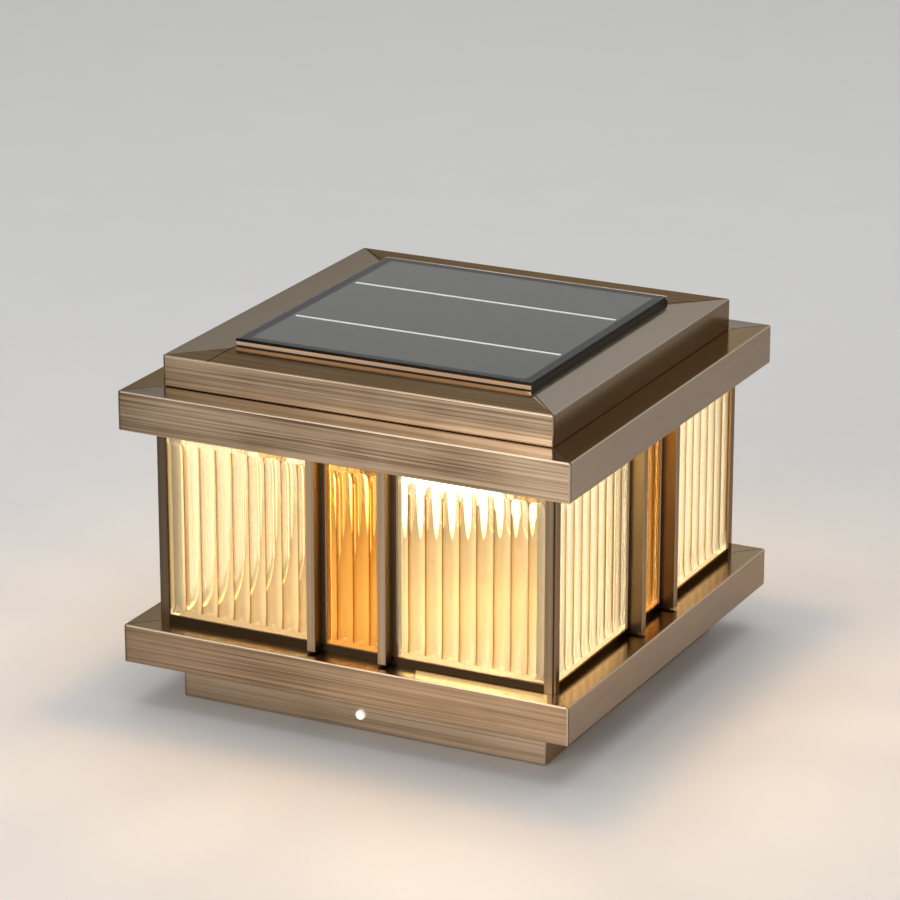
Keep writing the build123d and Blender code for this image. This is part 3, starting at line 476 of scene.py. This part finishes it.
WARM_SHEEN = (0.85, 0.62, 0.30, 1.0)
GLASS_ROUGHNESS = (0.0, 0.02)
# Slants and ridge shares of the painted glow of the glass.
PAINTED_GLOW_SLANTS = (0.12, 0.65)
RIDGE_STOPS = (0.55, 0.86, 0.98)
PAINTED_GLOW_RIDGES = (0.98, 0.80)


def pressed_glass(name, tones, glow, strength):
    """Slightly milky glass with tones for the middle, shoulder and ridge of a flute.

    It has a painted glow, stronger where it is seen at a slant and fading at the ridges; its darker
    shoulder and near-black ridge tones are painted shade of the flutes.
    """
    made, tree, shader = new_material(
        name,
        Transmission_Weight=0.93,
        IOR=1.5,
        Metallic=0.0,
        Specular_Tint=WARM_SHEEN,
        Subsurface_Weight=1.0,
        Subsurface_Radius=(1.0, 0.9, 0.7),
        Subsurface_Scale=0.004,
        Emission_Color=(*glow, 1.0),
    )
    spots = add(tree, "Group", {"Cloud Scale": 60.0}, node_tree=SPECKLE).outputs
    across = add(tree, "Attribute", attribute_name="ridge").outputs["Fac"]
    tint = ramp_of(tree, across, *[(stop, *tone) for stop, tone in zip(RIDGE_STOPS, tones)])
    tree.links.new(tint, shader.inputs["Base Color"])
    tree.links.new(span_of(tree, spots["Cloud"], *GLASS_ROUGHNESS), shader.inputs["Roughness"])
    # Painted glow: stronger at a slant and away from the ridges.
    slanted = share_of(tree, slant_of(tree), *PAINTED_GLOW_SLANTS, strength)
    valley = share_of(tree, across, *PAINTED_GLOW_RIDGES)
    tree.links.new(math_of(tree, "MULTIPLY", slanted, valley), shader.inputs["Emission Strength"])
    return made


# Middle, shoulder and ridge tones: the tan shoulder and near-black ridge are painted shade of the flutes.
CLEAR_TONES = ((0.99, 0.94, 0.80), (0.80, 0.60, 0.32), (0.14, 0.075, 0.02))
AMBER_TONES = ((0.98, 0.66, 0.24), (0.75, 0.38, 0.08), (0.10, 0.04, 0.006))
clear_glass = pressed_glass("clear_fluted_glass", CLEAR_TONES, (1.0, 0.80, 0.48), 0.35)
amber_glass = pressed_glass("amber_fluted_glass", AMBER_TONES, (1.0, 0.48, 0.10), 0.16)
for side in SIDES:
    for end in ENDS:
        node = "clear_pane_" + side + "_" + end
        pane = fluted_pane("glass_" + node, node, CLEAR_FLUTES)
        pane.data.materials.append(clear_glass)
    node = "amber_pane_" + side
    pane = fluted_pane("glass_" + node, node, AMBER_FLUTES)
    pane.data.materials.append(amber_glass)

# Roof seal: a soft black rubber frame between the lantern and the ceiling plate.
# It is cut from sheet and held by the pressure of the tie bolts.
rubber = speckled("black_rubber", (0.012, 0.012, 0.013), (0.028, 0.028, 0.03), (0.6, 0.8), bump=0.2)
dress(rubber, "roof_seal")

# Ceiling plate: flat steel sheet, powder coated white to throw the light down, like the strips behind
# the panes. It is screwed to the flange of the eave and carries the lamp and the electronics.
white_coat = speckled("white_powder_coat", (0.80, 0.79, 0.76), (0.87, 0.86, 0.83), (0.4, 0.55), bump=0.15)
dress(white_coat, "ceiling_plate", "glazing_strips")

# Lamp: grooved aluminium heat sink, white round board with its chips, and an opal dome over them.
# The dome glows warm white, brightest at its upper end. A warm light inside it lights the lantern.
aluminium = speckled("turned_aluminium", (0.62, 0.62, 0.63), (0.76, 0.76, 0.77), (0.3, 0.45), Metallic=1.0)
dress(aluminium, "heat_sink")
solder_mask = speckled("white_solder_mask", (0.80, 0.80, 0.76), (0.88, 0.88, 0.85), (0.3, 0.45))
dress(solder_mask, "led_board")
DOME_COLLAR = 0.006
DOME_GLOW = (
    (0.0, 0.09, 0.06, 0.03),
    (0.15, 0.22, 0.165, 0.09),
    (0.45, 0.7, 0.59, 0.40),
    (1.0, 1.0, 0.86, 0.62),
)
BULB_PLACE = (0.015, -0.012, 0.100)
BULB_COLOUR = (1.0, 0.76, 0.44)


def opal_glow():
    """Opal plastic that glows warm, brighter towards its collar at the upper end."""
    made, tree, shader = new_material("opal_diffuser", Roughness=0.4, Emission_Strength=7.0)
    low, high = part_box("diffuser")
    height = add(tree, "SeparateXYZ", {0: add(tree, "TexCoord").outputs["Object"]}).outputs["Z"]
    rise = share_of(tree, height, low[2], high[2] - DOME_COLLAR)
    spots = add(tree, "Group", node_tree=SPECKLE).outputs
    body = ramp_of(tree, spots["Cloud"], (0.3, 0.60, 0.55, 0.46), (0.7, 0.66, 0.61, 0.52))
    tree.links.new(body, shader.inputs["Base Color"])
    tree.links.new(ramp_of(tree, rise, *DOME_GLOW), shader.inputs["Emission Color"])
    return made


dress(opal_glow(), "diffuser")
nodes["diffuser"].visible_shadow = False
bulb = bpy.data.lights.new("bulb", "POINT")
bulb.energy = 1.05
bulb.color = BULB_COLOUR
bulb.shadow_soft_size = 0.022
lamp = bpy.data.objects.new("bulb", bulb)
lamp.location = BULB_PLACE
lamp.visible_camera = False
lamp.visible_transmission = False
bpy.context.scene.collection.objects.link(lamp)
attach(lamp, "roof")

# Battery, its holder, the charge controller and the short leads, all on top of the ceiling plate.
# Shrink-wrapped cells in a moulded holder, a green circuit board and black round leads.
shrink_wrap = speckled("battery_wrap", (0.02, 0.10, 0.30), (0.03, 0.14, 0.38), (0.3, 0.4))
dress(shrink_wrap, "battery_cells")
black_plastic = speckled("black_plastic", (0.015, 0.015, 0.016), (0.03, 0.03, 0.031), (0.4, 0.55), bump=0.1)
dress(black_plastic, "battery_holder")
board_green = speckled("circuit_board", (0.01, 0.09, 0.035), (0.02, 0.15, 0.06), (0.3, 0.45))
dress(board_green, "controller_board")
sheath = speckled("lead_sheath", (0.02, 0.02, 0.02), (0.04, 0.04, 0.04), (0.5, 0.65))
dress(sheath, "wiring")

# Eave and cap: two more folded boxes of the same brushed bronze, screwed together inside.
# The cap's bends get only a little of the painted highlight.
# Per-face tones: the eave's step and slope tones and the cap's side rims are painted reflection. The shaded
# side tones and the darker front and back rims of the cap are painted shade.
EAVE_STEP_REFLECTION_TONES = ((0.30, 0.29, 0.285), (0.39, 0.385, 0.375), (0.48, 0.475, 0.465))
EAVE_SLOPE_REFLECTION_TONES = ((0.285, 0.22, 0.15), (0.37, 0.295, 0.21), (0.455, 0.37, 0.28))
SHADED_TONES = ((0.20, 0.16, 0.12), (0.28, 0.225, 0.17), (0.36, 0.29, 0.225))
CAP_RIM_X_SHADE_TONES = ((0.15, 0.108, 0.07), (0.24, 0.182, 0.128), (0.36, 0.285, 0.21))
CAP_RIM_Y_REFLECTION_TONES = ((0.39, 0.365, 0.335), (0.46, 0.435, 0.405), (0.53, 0.505, 0.475))
eave_faces = (RUBBED_TONES, SIDE_LIGHT_TONES, EAVE_STEP_REFLECTION_TONES, EAVE_SLOPE_REFLECTION_TONES)
dress(brushed_bronze("eave_bronze", eave_faces, BEND_WEAR_AND_HIGHLIGHT, contrast=1.3), "eave_tray")
cap_faces = (RUBBED_TONES, SHADED_TONES, CAP_RIM_X_SHADE_TONES, CAP_RIM_Y_REFLECTION_TONES)
dress(brushed_bronze("cap_bronze", cap_faces, BEND_WEAR_AND_HIGHLIGHT, shine=0.1), "cap_box")

# Power switch under the eave: a black moulded body with a grey push button.
# The body passes through the flange of the eave and the ceiling plate, and the button is pressed upwards.
dress(black_plastic, "power_switch")
button_grey = speckled("button_grey", (0.20, 0.20, 0.21), (0.27, 0.27, 0.28), (0.45, 0.6), bump=0.1)
dress(button_grey, "power_button")

# Solar panel on the rim of the cap: a thin rubber gasket and a bronze-anodised aluminium carrier plate.
# A grey film covers the plate up to a thin black border. The cell lies on it under clear glass,
# with two silver ribbons soldered to it.
dress(rubber, "panel_gasket")
PANEL_BORDER = 0.0008
BORDER_TONE = (0.003, 0.003, 0.003, 1.0)
FILM_STOPS = ((0.3, 0.006, 0.0063, 0.0063), (0.7, 0.009, 0.0094, 0.0094))
# Edges of the plate: bright at front and back as a painted reflection, dark at the sides as painted shade.
EDGE_REFLECTION_STOPS = ((0.3, 0.42, 0.315, 0.23), (0.7, 0.74, 0.58, 0.45))
SHADED_EDGE_TONE = (0.065, 0.046, 0.028, 1.0)
PLATE_ROUGHNESS = (0.3, 0.45)


def carrier_plate():
    """Bronze edges, dark at the sides; on top a dark grey film with a black border along the edge."""
    made, tree, shader = new_material("carrier_plate")
    brush = add(tree, "Group", node_tree=BRUSHED).outputs
    low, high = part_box("panel_board")
    half = (high[0] - low[0]) / 2
    middle = ((low[0] + high[0]) / 2, (low[1] + high[1]) / 2, 0.0)
    place = add(tree, "TexCoord").outputs["Object"]
    offset = add(tree, "VectorMath", {0: place, 1: middle}, operation="SUBTRACT").outputs[0]
    sideways = add(tree, "SeparateXYZ", {0: offset}).outputs[:2]
    away = math_of(tree, "MAXIMUM", *[math_of(tree, "ABSOLUTE", socket) for socket in sideways])
    border = math_of(tree, "GREATER_THAN", away, half - PANEL_BORDER)
    film = mix_of(tree, border, ramp_of(tree, brush["Cloud"], *FILM_STOPS), BORDER_TONE)
    # Painted reflection on the front and back edges, painted shade on the side edges.
    metal = mix_of(tree, brush["Front"], SHADED_EDGE_TONE, ramp_of(tree, brush["Streak"], *EDGE_REFLECTION_STOPS))
    tree.links.new(mix_of(tree, brush["Top"], metal, film), shader.inputs["Base Color"])
    tree.links.new(math_of(tree, "SUBTRACT", 1.0, brush["Top"]), shader.inputs["Metallic"])
    tree.links.new(span_of(tree, brush["Hair"], *PLATE_ROUGHNESS), shader.inputs["Roughness"])
    return made


dress(carrier_plate(), "panel_board")
CONTACT_PITCH = 0.0025
CONTACT_CREST = 0.9
CONTACT_STRENGTH = 0.05
CONTACT_TONE = (0.4, 0.4, 0.4, 1.0)
CELL_ROUGHNESS = (0.35, 0.5)


def silicon():
    """Dark grey silicon with faint contact lines across the ribbons."""
    made, tree, shader = new_material("silicon_cell", Specular_IOR_Level=0.05)
    place = add(tree, "SeparateXYZ", {0: add(tree, "TexCoord").outputs["Object"]}).outputs
    wave = math_of(tree, "SINE", math_of(tree, "MULTIPLY", place[0], 2 * math.pi / CONTACT_PITCH))
    line = math_of(tree, "MULTIPLY", share_of(tree, wave, CONTACT_CREST, 1.0), CONTACT_STRENGTH)
    spots = add(tree, "Group", node_tree=SPECKLE).outputs
    colour = mix_of(tree, line, ramp_of(tree, spots["Cloud"], *FILM_STOPS), CONTACT_TONE)
    tree.links.new(colour, shader.inputs["Base Color"])
    tree.links.new(span_of(tree, spots["Grain"], *CELL_ROUGHNESS), shader.inputs["Roughness"])
    return made


dress(silicon(), "solar_cell")
ribbon = speckled("silver_ribbon", (0.82, 0.84, 0.85), (0.92, 0.93, 0.94), (0.35, 0.5), Metallic=0.2)
dress(ribbon, "busbars")
DUSTY_ROUGHNESS = (0.02, 0.08)


def cover_glass():
    """Clear float glass, faintly green, with a little dust."""
    made, tree, shader = new_material("panel_glass", Transmission_Weight=1.0, IOR=1.25, Metallic=0.0)
    spots = add(tree, "Group", node_tree=SPECKLE).outputs
    tint = ramp_of(tree, spots["Cloud"], (0.3, 0.97, 0.99, 0.97), (0.7, 0.95, 0.97, 0.94))
    tree.links.new(tint, shader.inputs["Base Color"])
    tree.links.new(span_of(tree, spots["Cloud"], *DUSTY_ROUGHNESS), shader.inputs["Roughness"])
    return made


dress(cover_glass(), "panel_glass")
nodes["panel_glass"].visible_shadow = False

# Studio floor: a pale matt sheet without seams, wide enough to reach past the picture.
# It lies a hair below the mounting plate.
FLOOR_REACH = 8.0
FLOOR_DROP = 0.0002
floor_mesh = bpy.data.meshes.new("floor")
corners = [(x * FLOOR_REACH, y * FLOOR_REACH, 0.0) for x, y in ((-1, -1), (1, -1), (1, 1), (-1, 1))]
floor_mesh.from_pydata(corners, [], [(0, 1, 2, 3)])
floor_coat = speckled(
    "studio_floor", (0.60, 0.60, 0.60), (0.62, 0.62, 0.62), (0.6, 0.7), cloud=2.0, grain=20.0
)
floor_mesh.materials.append(floor_coat)
floor = bpy.data.objects.new("floor", floor_mesh)
floor.location = (0.0, 0.0, -FLOOR_DROP)
bpy.context.scene.collection.objects.link(floor)

# Glow of the right front pane on the ledge of the tray, as soft as light that has passed the flutes.
# It stands just in front of the frame and lights only the tray.
GLOW_PLACE = (0.072, -0.1125, 0.09175)
GLOW_SIZE = (0.072, 0.0955)


def light_only(light, name, thing):
    """Lets a light fall on one object alone, by a collection of this name."""
    lit = bpy.data.collections.new(name)
    lit.objects.link(thing)
    light.light_linking.receiver_collection = lit


glow_data = bpy.data.lights.new("ledge_glow", "AREA")
glow_data.shape = "RECTANGLE"
glow_data.size, glow_data.size_y = GLOW_SIZE
glow_data.energy = 0.032
glow_data.color = (1.0, 0.86, 0.52)
ledge_glow = bpy.data.objects.new("ledge_glow", glow_data)
ledge_glow.location = GLOW_PLACE
ledge_glow.rotation_euler = (math.radians(-90), 0.0, 0.0)
ledge_glow.visible_camera = False
light_only(ledge_glow, "lit_tray", nodes["base_tray"])
bpy.context.scene.collection.objects.link(ledge_glow)
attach(ledge_glow, "lantern")

# Pool of warm light on the floor around the lamp, with the square shadow of the eave in it.
# A small spot above the lamp makes it and lights only the floor.
POOL_PLACE = (0.0, 0.0, 0.7)
POOL_AIM = (0.08, -0.12, -0.7)
pool_data = bpy.data.lights.new("warm_pool", "SPOT")
pool_data.energy = 6.6
pool_data.color = (1.0, 0.52, 0.18)
pool_data.spot_size = math.radians(84)
pool_data.spot_blend = 1.0
pool_data.shadow_soft_size = 0.05
warm_pool = bpy.data.objects.new("warm_pool", pool_data)
warm_pool.location = POOL_PLACE
warm_pool.rotation_euler = Vector(POOL_AIM).to_track_quat("-Z", "Y").to_euler()
light_only(warm_pool, "lit_floor", floor)
bpy.context.scene.collection.objects.link(warm_pool)

# Light of the studio: even grey surroundings, as from pale walls.
# A large soft box hangs overhead and a smaller one stands at the front left.


def soft_light(name, place, target, size, energy):
    """Square area light at a place, aimed at a target."""
    data = bpy.data.lights.new(name, "AREA")
    data.size = size
    data.energy = energy
    made = bpy.data.objects.new(name, data)
    made.location = place
    made.rotation_euler = (Vector(target) - Vector(place)).to_track_quat("-Z", "Y").to_euler()
    made.visible_camera = False
    bpy.context.scene.collection.objects.link(made)


soft_light("overhead", place=(0.0, 0.3, 2.4), target=(0.0, 0.0, 0.0), size=2.4, energy=24.0)
soft_light("front_left", place=(-0.6, -2.4, 0.85), target=(0.0, 0.0, 0.1), size=1.2, energy=22.0)
world = bpy.data.worlds.new("studio")
world.use_nodes = True
world.node_tree.nodes["Background"].inputs["Color"].default_value = (0.60, 0.598, 0.593, 1.0)
bpy.context.scene.world = world

# Camera of the photograph: a long lens from the front right, a little above.
# Its place, aim and lens were fitted to the corners of the boxes.
CAMERA_PLACE = Vector((0.90116, -1.80268, 0.80844))
CAMERA_AIM = Vector((-0.004306, 0.005912, 0.115616))
camera_data = bpy.data.cameras.new("camera")
camera_data.sensor_width = 36.0
camera_data.lens = 164.745
camera = bpy.data.objects.new("camera", camera_data)
camera.location = CAMERA_PLACE
camera.rotation_euler = (CAMERA_AIM - CAMERA_PLACE).to_track_quat("-Z", "Y").to_euler()
bpy.context.scene.collection.objects.link(camera)
bpy.context.scene.camera = camera
bpy.context.scene.view_settings.view_transform = "Standard"
